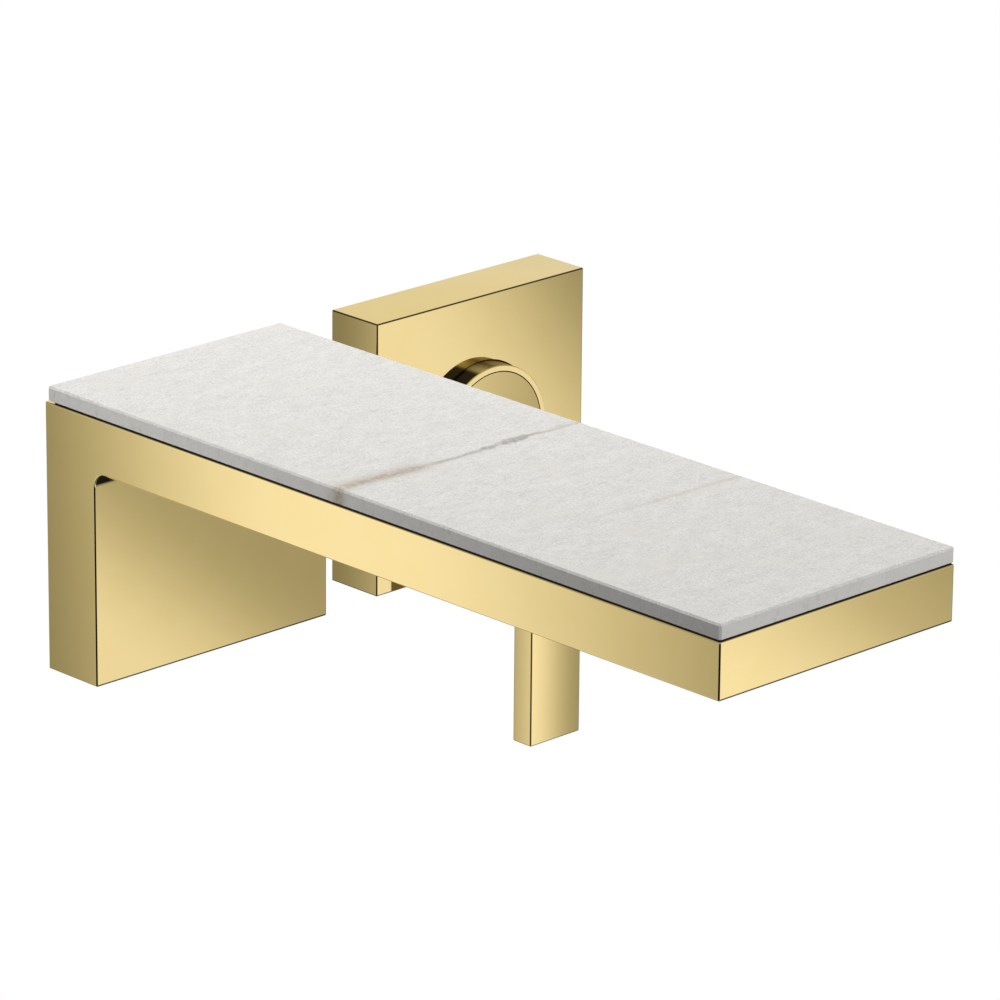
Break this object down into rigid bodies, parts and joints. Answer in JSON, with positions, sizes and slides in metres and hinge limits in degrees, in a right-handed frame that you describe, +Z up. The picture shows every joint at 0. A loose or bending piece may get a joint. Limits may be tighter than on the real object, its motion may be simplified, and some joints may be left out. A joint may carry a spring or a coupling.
{
  "type": "wall-mounted mixer tap",
  "caption": "Wall-mounted single-lever mixer: a polished L-shaped plate spout topped by a thin stone plate, beside a square wall plate with a hanging bar lever.",
  "frame": {"origin": "on the finished wall's face, at the axis of the spout's inlet, which is level with the handle's axis", "axes": "+Z up, +Y into the wall, +X to the right of someone facing the wall; the spout reaches out along -Y"},
  "size_m": [0.1908, 0.2905, 0.1223],
  "materials": {
    "polished_gold": "polished gold plate",
    "white_stone": "honed white marble",
    "black_carrier": "black moulded",
    "bond_foam": "foam tape",
    "steel": "plain",
    "raw_brass": "cast and machined",
    "copper": "drawn copper pipe",
    "grey_plastic": "moulded",
    "outlet_plastic": "moulded",
    "rubber": "soft",
    "disc_ceramic": "lapped"
  },
  "bodies": {
    "valve_and_spout": {"spout_body": "polished_gold", "stone_plate": "white_stone", "plate_carrier": "black_carrier", "stone_bond_pads": "bond_foam", "carrier_screws": "steel", "spout_elbow": "raw_brass", "water_channel": "grey_plastic", "channel_o_rings": "rubber", "outlet_holder": "raw_brass", "outlet_gasket": "rubber", "outlet_housing": "outlet_plastic", "flow_straightener": "outlet_plastic", "flow_limiter": "grey_plastic", "filter_screen": "steel", "spout_nipple": "raw_brass", "nipple_o_rings": "rubber", "spout_wall_bracket": "steel", "bracket_screws": "steel", "spout_grub_screw": "steel", "spout_wall_seal": "rubber", "handle_plate": "polished_gold", "handle_plate_carrier": "black_carrier", "plate_grip_ring": "rubber", "handle_wall_seal": "rubber", "handle_sleeve": "polished_gold", "fixed_disc": "disc_ceramic", "disc_seals": "rubber", "cartridge_base": "grey_plastic", "base_seals": "rubber", "cartridge_housing": "grey_plastic", "cartridge_nut": "raw_brass", "wall_elbow": "raw_brass", "outlet_pipe": "copper", "valve_body": "raw_brass", "check_valves": "grey_plastic", "inlet_filters": "grey_plastic", "duct_plug": "raw_brass", "mounting_rail": "steel", "rail_screws": "steel"},
    "turning_guide": {"cartridge_guide": "grey_plastic"},
    "lever": {"lever_hub": "polished_gold", "lever_bar": "polished_gold", "drive_stem": "steel", "trunnion_pins": "steel"},
    "sliding_disc": {"disc_carrier": "grey_plastic", "moving_disc": "disc_ceramic"}
  },
  "joints": [
    {"name": "temperature_turn", "type": "hinge", "parent": "valve_and_spout", "child": "turning_guide", "pos_m": [0.0998, 0, 0], "axis": [0, -1, 0], "range_deg": [-50, 50]},
    {"name": "lever_tilt", "type": "hinge", "parent": "turning_guide", "child": "lever", "pos_m": [0.0998, -0.0175, 0], "axis": [-1, 0, 0], "range_deg": [0, 20]},
    {"name": "disc_slide", "type": "slide", "parent": "turning_guide", "child": "sliding_disc", "axis": [0, 0, -1], "range_m": [0, 0.0073]}
  ],
  "couplings": [
    {"joint": "disc_slide", "follows": "lever_tilt", "m_per_rad": 0.0206}
  ]
}
